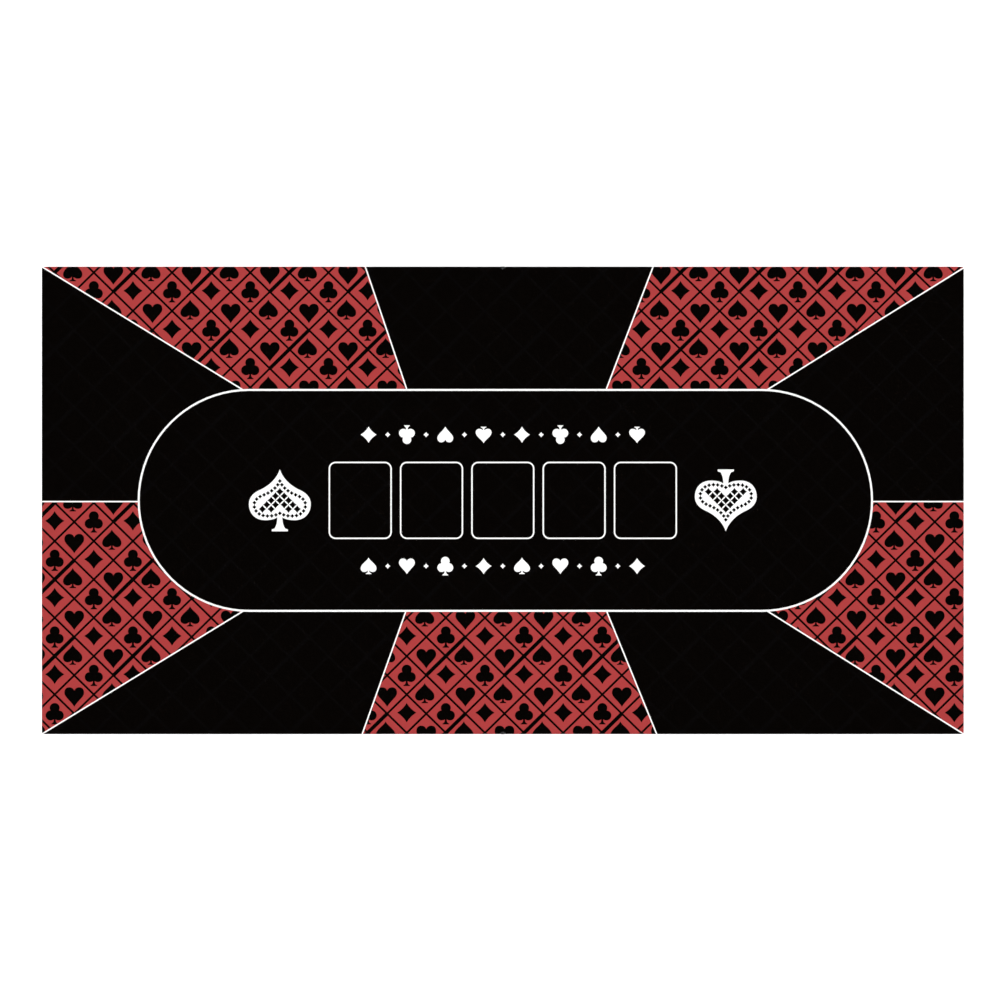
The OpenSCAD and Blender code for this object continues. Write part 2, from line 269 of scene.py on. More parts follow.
def diamond():
    tips = ((0, 0.507), (0.5, 0), (0, -0.507), (-0.5, 0))
    points = []
    for i, a in enumerate(tips):
        b = tips[(i + 1) % 4]
        waist = ((a[0] + b[0]) * 0.37, (a[1] + b[1]) * 0.37)
        first = ((a[0] + 2 * waist[0]) / 3, (a[1] + 2 * waist[1]) / 3)
        second = ((b[0] + 2 * waist[0]) / 3, (b[1] + 2 * waist[1]) / 3)
        points += curve(a, first, second, b, 5)
    return [points]


SUITS = {"spade": spade(), "heart": heart(), "club": club(), "diamond": diamond()}


def placed(outline, centre, size, turned=False):
    """An outline of unit size at its place, upside down if turned."""
    s = -size if turned else size
    return [(centre[0] + s * x, centre[1] + s * y) for x, y in outline]


def stadium(half_l, half_w, centre_x, steps=40):
    run = half_l - half_w
    points = []
    for side, start in ((1, -math.pi / 2), (-1, math.pi / 2)):
        for i in range(steps + 1):
            a = start + math.pi * i / steps
            points.append((centre_x + side * run + half_w * math.cos(a), half_w * math.sin(a)))
    return points


def rounded_box(width, height, radius, centre_x, steps=8):
    points = []
    for i in range(4):
        cx = (width / 2 - radius) * (1, -1, -1, 1)[i]
        cy = (height / 2 - radius) * (1, 1, -1, -1)[i]
        for k in range(steps + 1):
            a = math.pi / 2 * (i + k / steps)
            points.append((centre_x + cx + radius * math.cos(a), cy + radius * math.sin(a)))
    return points


def band(a, b, width):
    """A straight line from a to b as an outline of that width."""
    along = (Vector(b) - Vector(a)).normalized()
    across = Vector((-along.y, along.x)) * width / 2
    near, far = Vector(a), Vector(b)
    return [tuple(p) for p in (near - across, far - across, far + across, near + across)]


def signed_area(points):
    pairs = zip(points, points[1:] + points[:1])
    return sum(p[0] * q[1] - q[0] * p[1] for p, q in pairs) / 2


def is_inside(point, outline):
    x, y = point
    crossings = 0
    for (ax, ay), (bx, by) in zip(outline, outline[1:] + outline[:1]):
        if (ay > y) != (by > y) and x < ax + (y - ay) / (by - ay) * (bx - ax):
            crossings += 1
    return crossings % 2 == 1


def spaced(outline, count):
    """That many points along a closed outline, at equal distances from its first point."""
    sides = list(zip(outline, outline[1:] + outline[:1]))
    step = sum(math.dist(a, b) for a, b in sides) / count
    points = []
    gone = 0.0
    for a, b in sides:
        length = math.dist(a, b)
        while len(points) < count and len(points) * step <= gone + length:
            t = (len(points) * step - gone) / length
            points.append((a[0] + t * (b[0] - a[0]), a[1] + t * (b[1] - a[1])))
        gone += length
    return points


def outwards(inner, outer, length):
    """The point that far beyond outer, on the line from inner."""
    step = (Vector(outer) - Vector(inner)).normalized() * length
    return tuple(Vector(outer) + step)


# ---- the flat cloth ----


class Layout:
    """Tagged outlines in the plane of the flat cloth, for one triangulation."""

    def __init__(self):
        self.points = []
        self.edges = []
        self.faces = []
        self.tags = []

    def take(self, points):
        first = len(self.points)
        self.points.extend(Vector(p) for p in points)
        return list(range(first, len(self.points)))

    def outline(self, points, tag):
        if signed_area(points) < 0:
            points = points[::-1]
        self.faces.append(self.take(points))
        self.tags.append(tag)

    def line(self, a, b):
        self.edges.append(tuple(self.take((a, b))))

    def triangles(self):
        """Each triangle's three points, and the tags of the outlines that it is in."""
        found = delaunay_2d_cdt(self.points, self.edges, self.faces, 1, 1e-3, True)
        points, faces, origins = found[0], found[2], found[5]
        for corners, inputs in zip(faces, origins):
            yield [tuple(points[i]) for i in corners], {self.tags[i] for i in inputs}


def run_steps():
    """Distances from the flat face's edge at which the wrapped cloth changes direction."""
    roll = [RUN_SIDE * i / ROLL_STEPS for i in range(ROLL_STEPS)]
    side = [RUN_SIDE + SIDE * i / 2 for i in range(2)]
    hem = [RUN_HEM + (RUN_RETURN - RUN_HEM) * i / HEM_STEPS for i in range(HEM_STEPS)]
    return roll + side + hem + [RUN_RETURN, RUN_MITRE]


def draw_cut(layout):
    """The cut of the cloth: the face, its flaps, the openings for the hinges and the bend lines."""
    layout.outline([(sx * FLAT_X, sy * FLAT_Y) for sx, sy in CORNERS], "cloth")
    mitre = RUN_END - RUN_MITRE
    for sx in (-1, 1):
        ends = [(0, -FLAT_Y), (RUN_MITRE, -FLAT_Y), (RUN_END, -FLAT_Y + mitre)]
        ends += [(d, -y) for d, y in reversed(ends)]
        layout.outline([(sx * (FLAT_X + d), y) for d, y in ends], "cloth")
        for sy in (-1, 1):
            flap = [(FLAT_X, 0), (FLAT_X, RUN_MITRE), (FLAT_X - mitre, RUN_END)]
            flap += [(SEAM_GAP, RUN_END), (SEAM_GAP, 0)]
            layout.outline([(sx * x, sy * (FLAT_Y + d)) for x, d in flap], "cloth")
        for d in run_steps():
            layout.line((sx * (FLAT_X + d), -FLAT_Y), (sx * (FLAT_X + d), FLAT_Y))
            layout.line((-FLAT_X, sx * (FLAT_Y + d)), (FLAT_X, sx * (FLAT_Y + d)))
    draw_hinge_openings(layout)
    for i in range(FOLD_COLUMNS + 1):
        x = FOLD_BEND * (2 * i / FOLD_COLUMNS - 1)
        layout.line((x, -NOTCH_Y), (x, NOTCH_Y))
    for x in (-FOLD_STRIP, FOLD_STRIP):
        layout.line((x, -NOTCH_Y), (x, NOTCH_Y))


def draw_hinge_openings(layout):
    """The notch at each end of the fold, with a slot on both sides for the hinge leaves."""
    foot = FLAT_Y + RUN_SIDE + FACE_Z - ROLL - LEAF_FOOT_Z
    middle = foot - LEAF_R
    right = [(NOTCH_X, NOTCH_Y), (NOTCH_X, middle - LEAF_R)]
    for i in range(LEAF_STEPS + 1):
        a = math.pi / 2 - math.pi * i / LEAF_STEPS
        right.append((LEAF_END - LEAF_R + LEAF_R * math.cos(a), middle - LEAF_R * math.sin(a)))
    opening = right + [(-x, y) for x, y in reversed(right)]
    for sy in (-1, 1):
        layout.outline([(x, sy * y) for x, y in opening], "opening")


def draw_spokes(layout):
    for outer, inner in SPOKES.values():
        ends = outwards(outer, inner, SPOKE_LINE), outwards(inner, outer, BLEED)
        layout.outline(band(*ends, SPOKE_LINE), "spoke")


def red_panel_outlines():
    panels = []
    for a, b in RED_PANELS:
        (a_out, a_in), (b_out, b_in) = SPOKES[a], SPOKES[b]
        outer = [outwards(a_in, a_out, BLEED), outwards(b_in, b_out, BLEED)]
        corner = [(math.copysign(2 * HALF_L, a_out[0]), math.copysign(2 * HALF_W, b_out[1]))]
        on_corner = "left" in (a, b) or "right" in (a, b)
        panels.append([a_in, outer[0], *(corner if on_corner else []), outer[1], b_in])
    return panels


def draw_lattice(layout, panels):
    """The ruled lines over the whole cloth, and the suits where a red panel shows them."""
    slope = ROW_PITCH / (SUIT_PITCH / 2)
    reach_x, reach_y = FLAT_X + RUN_END + 2, FLAT_Y + RUN_END + 2
    count = math.ceil((reach_x + reach_y / slope) / SUIT_PITCH) + 8
    first_x, first_y = FIRST_SUIT[0] - SUIT_PITCH / 2, FIRST_SUIT[1]
    rows = math.ceil((first_y + reach_y) / ROW_PITCH)

    def rule(i, lean, low, high, width):
        x = first_x + SUIT_PITCH * i
        ends = sorted(first_y + lean * slope * (side * reach_x - x) for side in (-1, 1))
        low, high = max(low, ends[0]), min(high, ends[1])
        if low < high:
            a, b = [(x + lean * (y - first_y) / slope, y) for y in (low, high)]
            layout.outline(band(a, b, width), "rule")

    for i in range(-count, 2 * count):
        rule(i, -1, -reach_y, reach_y, THIN_RULE)
        rule(i, 1, -reach_y, reach_y, THIN_RULE)
        if i % 2 == 0:
            for row in range(-2, rows, 4):
                high = first_y - ROW_PITCH * row
                rule(i, 1, max(high - 2 * ROW_PITCH, -reach_y), high, THICK_RULE)
    for row in range(-3, rows + 1):
        for i in range(-8, 28):
            name, centre = suit_at(row, i)
            around = ring(SUIT_REACH, 8, centre)
            if any(is_inside(p, panel) for panel in panels for p in around):
                for outline in SUITS[name]:
                    layout.outline(placed(outline, centre, SUIT_SIZE[name]), "suit")


def suit_at(row, i):
    """The suit in that cell of the lattice, and where it is printed."""
    if row % 2 == 0:
        name = "diamond" if (i + row // 2) % 2 == 0 else "club"
    else:
        name = "spade" if (i + (row - 1) // 2) % 2 == 0 else "heart"
    x = FIRST_SUIT[0] + SUIT_PITCH * (i - 0.5 * (row % 2))
    y = FIRST_SUIT[1] - ROW_PITCH * row
    return name, (x + SUIT_SHIFT[name][0], y + SUIT_SHIFT[name][1])


def draw_track(layout):
    half_line = TRACK_LINE / 2
    layout.outline(stadium(TRACK_HALF_L + half_line, TRACK_HALF_W + half_line, TRACK_X), "track")
    layout.outline(stadium(TRACK_HALF_L - half_line, TRACK_HALF_W - half_line, TRACK_X), "in_track")


def draw_cards(layout):
    for i in range(CARD_COUNT):
        x = CARD_PITCH * (i - (CARD_COUNT - 1) / 2)
        w, h = CARD_SIZE
        layout.outline(rounded_box(w, h, CARD_CORNER, x), "card")
        inner = rounded_box(w - 2 * CARD_LINE, h - 2 * CARD_LINE, CARD_CORNER - CARD_LINE, x)
        layout.outline(inner, "in_card")


def draw_pip_rows(layout):
    """Suits with small diamonds between them, read from both long sides of the table."""
    for side in (-1, 1):
        for i in range(PIP_COUNT):
            x = PIP_PITCH * (i - (PIP_COUNT - 1) / 2)
            name = PIP_ORDER[i // 2 % 4] if i % 2 == 0 else "diamond"
            size = PIP_SIZE if i % 2 == 0 else PIP_SIZE / 3
            for outline in SUITS[name]:
                layout.outline(placed(outline, (-side * x, side * PIP_ROW_Y), size, side > 0), "pip")


def crest_border():
    """The middles of the border diamonds, in the body of a large spade of unit size."""
    inner = [(BORDER_SCALE[0] * x, BORDER_SCALE[1] * y - BORDER_DROP) for x, y in crest_body()]
    return spaced(inner, BORDER_COUNT)


def crest_field(border):
    """The middles of the field diamonds: the grid places inside the border and clear of it."""
    places = []
    for row in range(-FIELD_REACH, FIELD_REACH + 1):
        for i in range(-FIELD_REACH, FIELD_REACH + 1):
            x = FIELD_PITCH * (i + 0.5 * (row % 2)) / CREST_SIZE
            y = FIELD_PITCH * 0.5 * row / CREST_SIZE
            nearest = min(math.dist((x, y), place) for place in border)
            if is_inside((x, y), border) and nearest * CREST_SIZE > FIELD_GAP:
                places.append((x, y))
    return places


def draw_crests(layout):
    """A large spade at each end of the track, with a border and a field of small diamonds."""
    border = crest_border()
    field = crest_field(border)
    for side in (-1, 1):
        centre = (side * CREST_X, 0)
        turned = side > 0
        for outline in (crest_body(), crest_stem()):
            layout.outline(placed(outline, centre, CREST_SIZE, turned), "crest")
        for place in placed(border, centre, CREST_SIZE, turned):
            layout.outline(placed(diamond()[0], place, BORDER_DIAMOND), "crest_hole")
        for place in placed(field, centre, CREST_SIZE, turned):
            layout.outline(placed(diamond()[0], place, FIELD_DIAMOND), "crest_hole")


def ink_of(tags):
    """The ink that shows in a triangle with those tags, or None outside the cloth."""
    if "cloth" not in tags or "opening" in tags:
        return None
    if "in_track" in tags:
        if "crest" in tags and "crest_hole" not in tags:
            return "white"
        if "pip" in tags or ("card" in tags and "in_card" not in tags):
            return "white"
        return "tonal" if "rule" in tags and "crest" not in tags else "black"
    if "track" in tags or "spoke" in tags:
        return "white"
    if "panel" in tags:
        return "black" if "rule" in tags or "suit" in tags else "red"
    return "tonal" if "rule" in tags else "black"


# ---- the wrapped cloth ----


def wrap_profile(run):
    """How far out and how high the cloth is after that run from the face's edge, and its normal."""
    if run <= RUN_SIDE:
        a = run / ROLL
        return ROLL * math.sin(a), FACE_Z - ROLL * (1 - math.cos(a)), math.sin(a), math.cos(a)
    if run <= RUN_HEM:
        return ROLL, FACE_Z - ROLL - (run - RUN_SIDE), 1.0, 0.0
    if run <= RUN_RETURN:
        a = (run - RUN_HEM) / HEM
        out = ROLL - HEM * (1 - math.cos(a))
        return out, RETURN_Z + HEM * (1 - math.sin(a)), math.cos(a), -math.sin(a)
    return ROLL - HEM - (run - RUN_RETURN), RETURN_Z, 0.0, -1.0


def wrapped(x, y):
    """Place and normal of a point of the flat cloth once it is wrapped over the boards."""
    run_x, run_y = abs(x) - FLAT_X, abs(y) - FLAT_Y
    if max(run_x, run_y) <= 0:
        return (x, y, FACE_Z), (0.0, 0.0, 1.0)
    out, z, lean, up = wrap_profile(max(run_x, run_y))
    if run_x > run_y:
        s = math.copysign(1, x)
        return (s * (FLAT_X + out), y, z), (s * lean, 0.0, up)
    s = math.copysign(1, y)
    return (x, s * (FLAT_Y + out), z), (0.0, s * lean, up)


class Shell:
    """Faces gathered for one mesh: shared points, their normals, flat places and ink slots."""

    def __init__(self):
        self.index = {}
        self.points = []
        self.normals = []
        self.flat = []
        self.faces = []
        self.slots = []

    def point(self, place, normal, flat):
        key = tuple(round(c, 3) for c in place)
        if key not in self.index:
            self.index[key] = len(self.points)
            self.points.append(place)
            self.normals.append(normal)
            self.flat.append(flat)
        return self.index[key]

    def face(self, corners, slot):
        used = [c for i, c in enumerate(corners) if c != corners[i - 1]]
        if len(used) > 2 and len(set(used)) == len(used):
            self.faces.append(used)
            self.slots.append(slot)

    def build(self, name, materials):
        mesh = bpy.data.meshes.new(name)
        mesh.from_pydata([Vector(p) * MM for p in self.points], [], self.faces)
        for material in materials:
            mesh.materials.append(material)
        mesh.polygons.foreach_set("material_index", self.slots)
        uv = mesh.uv_layers.new(name="flat")
        for loop in mesh.loops:
            uv.data[loop.index].uv = Vector(self.flat[loop.vertex_index]) * MM
        mesh.shade_smooth()
        mesh.normals_split_custom_set_from_vertices(self.normals)
        made = bpy.data.objects.new(name, mesh)
        bpy.context.scene.collection.objects.link(made)
        return made


def piece_of(corners):
    """The cloth piece that a triangle of the flat cloth is in."""
    x = sum(c[0] for c in corners) / 3
    y = sum(c[1] for c in corners) / 3
    if abs(x) < FOLD_STRIP and abs(y) < NOTCH_Y:
        return "cloth_fold"
    return "cloth_left" if x < 0 else "cloth_right"


def corner_ink(panels, place):
    """The ink just outside an outer corner of the face, where only spokes and panels reach."""
    for outer, inner in SPOKES.values():
        if is_inside(place, band(inner, outwards(inner, outer, BLEED), SPOKE_LINE)):
            return "white"
    return "red" if any(is_inside(place, panel) for panel in panels) else "black"


def add_corner(shell, panels, sx, sy):
    """The cloth drawn round one outer corner, from the face to the mitre under the board."""
    steps = run_steps()

    def at(run, turn):
        ex, ey = sx * math.cos(turn), sy * math.sin(turn)
        out, z, lean, up = wrap_profile(run)
        place = (sx * FLAT_X + ex * out, sy * FLAT_Y + ey * out, z)
        flat = (sx * FLAT_X + ex * run, sy * FLAT_Y + ey * run)
        return shell.point(place, (ex * lean, ey * lean, up), flat)

    turns = [math.pi / 2 * i / CORNER_STEPS for i in range(CORNER_STEPS + 1)]
    if sx * sy < 0:
        turns.reverse()
    for near, far in zip(steps, steps[1:]):
        run = min((near + far) / 2, RUN_SIDE)
        for a, b in zip(turns, turns[1:]):
            turn = (a + b) / 2
            place = (sx * (FLAT_X + run * math.cos(turn)), sy * (FLAT_Y + run * math.sin(turn)))
            ink = INKS.index(corner_ink(panels, place))
            shell.face([at(near, a), at(far, a), at(far, b), at(near, b)], ink)


def make_cloth(inks):
    layout = Layout()
    panels = red_panel_outlines()
    draw_cut(layout)
    for panel in panels:
        layout.outline(panel, "panel")
    draw_spokes(layout)
    draw_lattice(layout, panels)
    draw_track(layout)
    draw_cards(layout)
    draw_pip_rows(layout)
    draw_crests(layout)
    shells = {name: Shell() for name in ("cloth_left", "cloth_right", "cloth_fold")}
    for corners, tags in layout.triangles():
        ink = ink_of(tags)
        if ink:
            shell = shells[piece_of(corners)]
            shell.face([shell.point(*wrapped(*c), c) for c in corners], INKS.index(ink))
    for side, sx in SIDE_SIGN.items():
        for sy in (-1, 1):
            add_corner(shells["cloth_" + side], panels, sx, sy)
    return {name: shell.build(name, inks) for name, shell in shells.items()}


# ---- foam pads ----

PAD_CORNER = 2.2
PAD_CORNER_STEPS = 6
PAD_EDGE = 0.9
PAD_EDGE_STEPS = 4
SHARP = math.radians(50)


def pad_outline(side, inset):
    """Plan of a foam pad, with the notch for the hinges at both ends of the fold."""
    x_out, x_in = -foam_low.x - inset, -foam_high.x + inset
    y_out, y_notch = -foam_low.y - inset, NOTCH_Y - inset
    quarter = [(x_in, 0), (x_in, y_notch), (NOTCH_X + inset, y_notch), (NOTCH_X + inset, y_out)]
    for i in range(PAD_CORNER_STEPS + 1):
        a = math.pi / 2 * (1 - i / PAD_CORNER_STEPS)
        x = x_out - PAD_CORNER + PAD_CORNER * math.cos(a)
        y = y_out - PAD_CORNER + PAD_CORNER * math.sin(a)
        quarter.append((x, y))
    points = quarter + [(x, -y) for x, y in reversed(quarter[1:])]
    return [(SIDE_SIGN[side] * x, y) for x, y in points]


def make_pad(side, material):
    """Foam pad whose cut edges are softened by the cloth pulled over them."""
    levels = []
    for i in range(PAD_EDGE_STEPS + 1):
        a = math.pi / 2 * i / PAD_EDGE_STEPS
        levels.append((PAD_EDGE * (1 - math.sin(a)), foam_low.z + PAD_EDGE * (1 - math.cos(a))))
    levels += [(inset, foam_low.z + foam_high.z - z) for inset, z in reversed(levels)]
    rings = [[(x, y, z) for x, y in pad_outline(side, inset)] for inset, z in levels]
    count = len(rings[0])
    points = [Vector(p) * MM for level in rings for p in level]
    faces = [list(range(count))[::-1], list(range(len(points) - count, len(points)))]
    for level in range(len(rings) - 1):
        for i in range(count):
            j = (i + 1) % count
            low = level * count
            faces.append([low + i, low + j, low + count + j, low + count + i])
    if signed_area([p[:2] for p in rings[0]]) < 0:
        faces = [face[::-1] for face in faces]
    mesh = bpy.data.meshes.new(f"{side}_foam_pad")
    mesh.from_pydata(points, [], faces)
    mesh.materials.append(material)
    mesh.set_sharp_from_angle(angle=SHARP)
    made = bpy.data.objects.new(mesh.name, mesh)
    bpy.context.scene.collection.objects.link(made)
    return made


# ---- backing sheets ----


def islands(node):
    """Middle of each separate solid of a CAD node, in millimetres."""
    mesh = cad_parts[node].data
    parent = list(range(len(mesh.vertices)))
    at_place = {}
    for v in mesh.vertices:
        key = tuple(round(c, 6) for c in v.co)
        parent[v.index] = at_place.setdefault(key, v.index)

    def root(i):
        while parent[i] != i:
            parent[i] = parent[parent[i]]
            i = parent[i]
        return i

    for edge in mesh.edges:
        a, b = (root(i) for i in edge.vertices)
        parent[a] = b
    groups = {}
    for v in mesh.vertices:
        groups.setdefault(root(v.index), []).append(v.co)
    middles = []
    for members in groups.values():
        low = Vector([min(c[k] for c in members) for k in range(3)])
        high = Vector([max(c[k] for c in members) for k in range(3)])
        middles.append((low + high) / 2 / MM)
    return middles


CLOSEST_LINES = 0.7


def grid_lines(low, high, marks, longest):
    """Sorted positions from low to high through the marks, with no gap over longest."""
    lines = sorted({round(m, 3) for m in [low, high, *marks] if low <= m <= high})
    filled = [lines[0]]
    for value in lines[1:]:
        gap = value - filled[-1]
        if gap < CLOSEST_LINES and value != high:
            continue
        parts = math.ceil(gap / longest)
        start = filled[-1]
        filled += [start + gap * (i + 1) / parts for i in range(parts)]
    return filled


# The sheet lies on the cloth return, and steps up to the board this far in from the outer edge
LAP_STEP = (31.2, 34.0)
# The sheet's grid: lines in from the outer edge, in from the fold, and on both sides of a staple
EDGE_LINES = (10, 14, 18, 22, 26, 29, LAP_STEP[0], 32.1, 33.1, LAP_STEP[1], 40, 50)
SEAM_LINES = (2, 6, 11, 16, 24)
STAPLE_LINES = (-16, -8, 0, 8, 16)
LONGEST_CELL = 24
STAPLE_ROW = 30  # the staples of a row lie this close to the outer edge
# The sheet bellies down between the fasteners, and lies flat near them and at its edges
PUFF = 0.35
HELD_FLAT = 26
EDGE_FLAT = 8
BROAD_WAVE = 70
FINE_WAVE = 24
SHEET_RIM = 0.55  # the cut edge of the sheet, turned up to its thickness


def make_backing(side, material):
    """The non-woven sheet under one half: lapped over the cloth return, and puffed between staples."""
    outer_x, outer_y = -backing_low.x, -backing_low.y
    seam_x = -backing_high.x
    staples = islands(f"{side}_staples")
    fasteners = staples + islands(f"{side}_feet") + islands(f"{side}_handle_brackets")
    ends_x = [HALF_L - d for d in EDGE_LINES]
    ends_y = [s * (HALF_W - d) for d in EDGE_LINES for s in (-1, 1)]
    row_y = HALF_W - STAPLE_ROW
    rows_x = [abs(m.x) + d for m in staples if abs(m.y) > row_y for d in STAPLE_LINES]
    rows_y = [m.y + d for m in staples if abs(m.y) < row_y for d in STAPLE_LINES]
    seam_lines = [seam_x + d for d in SEAM_LINES]
    xs = grid_lines(seam_x, outer_x, ends_x + rows_x + seam_lines, LONGEST_CELL)
    ys = grid_lines(-outer_y, outer_y, ends_y + rows_y, LONGEST_CELL)
    sign = SIDE_SIGN[side]
    lap_z, field_z = backing_low.z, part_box("left_handle_brackets")[1].z / MM

    def height(x, y):
        inset = min(HALF_L - x, HALF_W - abs(y))
        step = min(max((inset - LAP_STEP[0]) / (LAP_STEP[1] - LAP_STEP[0]), 0), 1)
        base = lap_z + (field_z - lap_z) * step * step * (3 - 2 * step)
        gap = min(math.hypot(sign * x - m.x, y - m.y) for m in fasteners)
        loose = 1 - math.exp(-((gap / HELD_FLAT) ** 2))
        broad = noise.noise(Vector((sign * x, y, 0)) / BROAD_WAVE)
        fine = noise.noise(Vector((sign * x, y, 9)) / FINE_WAVE)
        to_edge = min(x - seam_x, outer_x - x, outer_y - abs(y))
        free = max(min(1, to_edge / EDGE_FLAT), 0)
        return base - PUFF * loose * free * (0.55 + 0.6 * (broad + 0.5 * fine))

    points = [Vector((sign * x, y, height(x, y))) * MM for x in xs for y in ys]
    rows = len(ys)
    faces = []
    for i in range(len(xs) - 1):
        for j in range(rows - 1):
            quad = [i * rows + j, i * rows + j + 1, (i + 1) * rows + j + 1, (i + 1) * rows + j]
            faces.append(quad if sign > 0 else quad[::-1])
    rim = [i * rows for i in range(len(xs))]
    rim += [(len(xs) - 1) * rows + j for j in range(1, rows)]
    rim += [i * rows + rows - 1 for i in reversed(range(len(xs) - 1))]
    rim += reversed(range(1, rows - 1))
    first = len(points)
    points += [points[i] + Vector((0, 0, SHEET_RIM * MM)) for i in rim]
    for k, i in enumerate(rim):
        j = (k + 1) % len(rim)
        quad = [i, rim[j], first + j, first + k]
        faces.append(quad if sign > 0 else quad[::-1])
    mesh = bpy.data.meshes.new(f"{side}_backing_sheet")
    mesh.from_pydata(points, [], faces)
    mesh.materials.append(material)
    mesh.shade_smooth()
    mesh.set_sharp_from_angle(angle=SHARP)
    made = bpy.data.objects.new(mesh.name, mesh)
    bpy.context.scene.collection.objects.link(made)
    return made


# ---- materials ----


def add(tree, kind, settings=(), **sockets):
    """A new shader node, with its settings, and values or links for its named inputs."""
    made = tree.nodes.new("ShaderNode" + kind)
    for key, value in dict(settings).items():
        setattr(made, key, value)
    for key, value in sockets.items():
        join(tree, made.inputs[key.replace("_", " ")], value)
    return made


def join(tree, socket, value):
    if isinstance(value, bpy.types.NodeSocket):
        tree.links.new(value, socket)
    else:
        socket.default_value = value


def calc(tree, operation, a, b=0.0, c=0.0):
    made = tree.nodes.new("ShaderNodeMath")
    made.operation = operation
    for socket, value in zip(made.inputs, (a, b, c)):
        join(tree, socket, value)
    return made.outputs[0]


def spread(tree, factor, low, high, from_low=0.0, from_high=1.0):
    """A value from low to high as factor goes over its range."""
    ends = {"From_Min": from_low, "From_Max": from_high, "To_Min": low, "To_Max": high}
    return add(tree, "MapRange", Value=factor, **ends).outputs["Result"]


def tints(tree, factor, dark, light):
    made = add(tree, "Mix", {"data_type": "RGBA"})
    join(tree, made.inputs["Factor"], factor)
    join(tree, made.inputs[6], (*dark, 1))
    join(tree, made.inputs[7], (*light, 1))
    return made.outputs[2]


def new_material(name):
    made = bpy.data.materials.new(name)
    made.use_nodes = True
    tree = made.node_tree
    shader = tree.nodes["Principled BSDF"]
    return made, tree, shader


def place_in(tree, name):
    """The coordinates that a pattern lies in: the flat cloth, or the object's own metres."""
    if name == "flat":
        return add(tree, "UVMap", {"uv_map": "flat"}).outputs["UV"]
    return add(tree, "TexCoord").outputs["Object"]


def speckle(tree, place, scale, detail=3.0):
    return add(tree, "TexNoise", Vector=place, Scale=scale, Detail=detail).outputs["Fac"]


def dent(tree, shader, height, depth, strength=1.0):
    """Bumps the surface by that height pattern, depth in metres."""
    bump = add(tree, "Bump", Height=height, Distance=depth, Strength=strength)
    tree.links.new(bump.outputs["Normal"], shader.inputs["Normal"])


def ink_material(name, colour, rough, specular, sheen):
    """Printed polyester: a fine plain weave with uneven threads, and dye that dulls the sheen."""
    made, tree, shader = new_material(name)
    place = place_in(tree, "flat")
    axes = add(tree, "SeparateXYZ", Vector=place)
    thread = 2 * math.pi / 0.0011
    warp = calc(tree, "SINE", calc(tree, "MULTIPLY", axes.outputs["X"], thread))
    weft = calc(tree, "SINE", calc(tree, "MULTIPLY", axes.outputs["Y"], thread))
    over = calc(tree, "MULTIPLY", warp, weft)
    fibre = speckle(tree, place, 2400, 2)
    weave = calc(tree, "MULTIPLY_ADD", over, 0.3, calc(tree, "MULTIPLY", fibre, 0.5))
    slub = speckle(tree, place, 60, 4)
    shader.inputs["Base Color"].default_value = (*colour, 1)
    uneven = calc(tree, "MULTIPLY_ADD", slub, 0.5, calc(tree, "MULTIPLY", weave, 0.5))
    join(tree, shader.inputs["Roughness"], spread(tree, uneven, rough - 0.08, rough + 0.08))
    shader.inputs["Specular IOR Level"].default_value = specular
    shader.inputs["Sheen Weight"].default_value = sheen
    shader.inputs["Sheen Roughness"].default_value = 0.45
    dent(tree, shader, weave, 0.0003, 1.0)
    return made


def grained(name, dark, light, rough, scale, depth, metallic=0.0, specular=0.5, patches=12):
    """A moulded, coated or cut surface: patchy colour, fine grain and uneven gloss."""
    made, tree, shader = new_material(name)
    place = place_in(tree, "object")
    patch = speckle(tree, place, patches, 5)
    grain = speckle(tree, place, scale, 3)
    both = calc(tree, "MULTIPLY_ADD", patch, 0.6, calc(tree, "MULTIPLY", grain, 0.4))
    colour = tints(tree, spread(tree, both, 0, 1, 0.3, 0.7), dark, light)
    join(tree, shader.inputs["Base Color"], colour)
    join(tree, shader.inputs["Roughness"], spread(tree, both, rough - 0.1, rough + 0.1, 0.3, 0.7))
    shader.inputs["Metallic"].default_value = metallic
    shader.inputs["Specular IOR Level"].default_value = specular
    dent(tree, shader, grain, depth)
    return made


def nonwoven_material():
    """Spun-bonded sheet: tangled fibres, pressed flat in a close pattern of small points."""
    made, tree, shader = new_material("nonwoven_backing")
    place = place_in(tree, "object")
    axes = add(tree, "SeparateXYZ", Vector=place)
    point = 2 * math.pi / 0.0016
    across = calc(tree, "COSINE", calc(tree, "MULTIPLY", axes.outputs["X"], point))
    along = calc(tree, "COSINE", calc(tree, "MULTIPLY", axes.outputs["Y"], point))
    pressed = spread(tree, calc(tree, "ADD", across, along), 0, 1, 0.9, 1.5)
    fibres = speckle(tree, place, 900, 6)
    cloudy = speckle(tree, place, 110, 4)
    tone = calc(tree, "MULTIPLY_ADD", cloudy, 0.7, calc(tree, "MULTIPLY", fibres, 0.3))
    tone = spread(tree, tone, 0, 1, 0.3, 0.7)
    colour = tints(tree, tone, (0.008, 0.008, 0.009), (0.019, 0.019, 0.020))
    join(tree, shader.inputs["Base Color"], colour)
    join(tree, shader.inputs["Roughness"], spread(tree, pressed, 0.85, 0.5))
    shader.inputs["Specular IOR Level"].default_value = 0.15
    shader.inputs["Sheen Weight"].default_value = 0.05
    dent(tree, shader, calc(tree, "SUBTRACT", calc(tree, "MULTIPLY", fibres, 0.6), pressed), 0.00015)
    return made


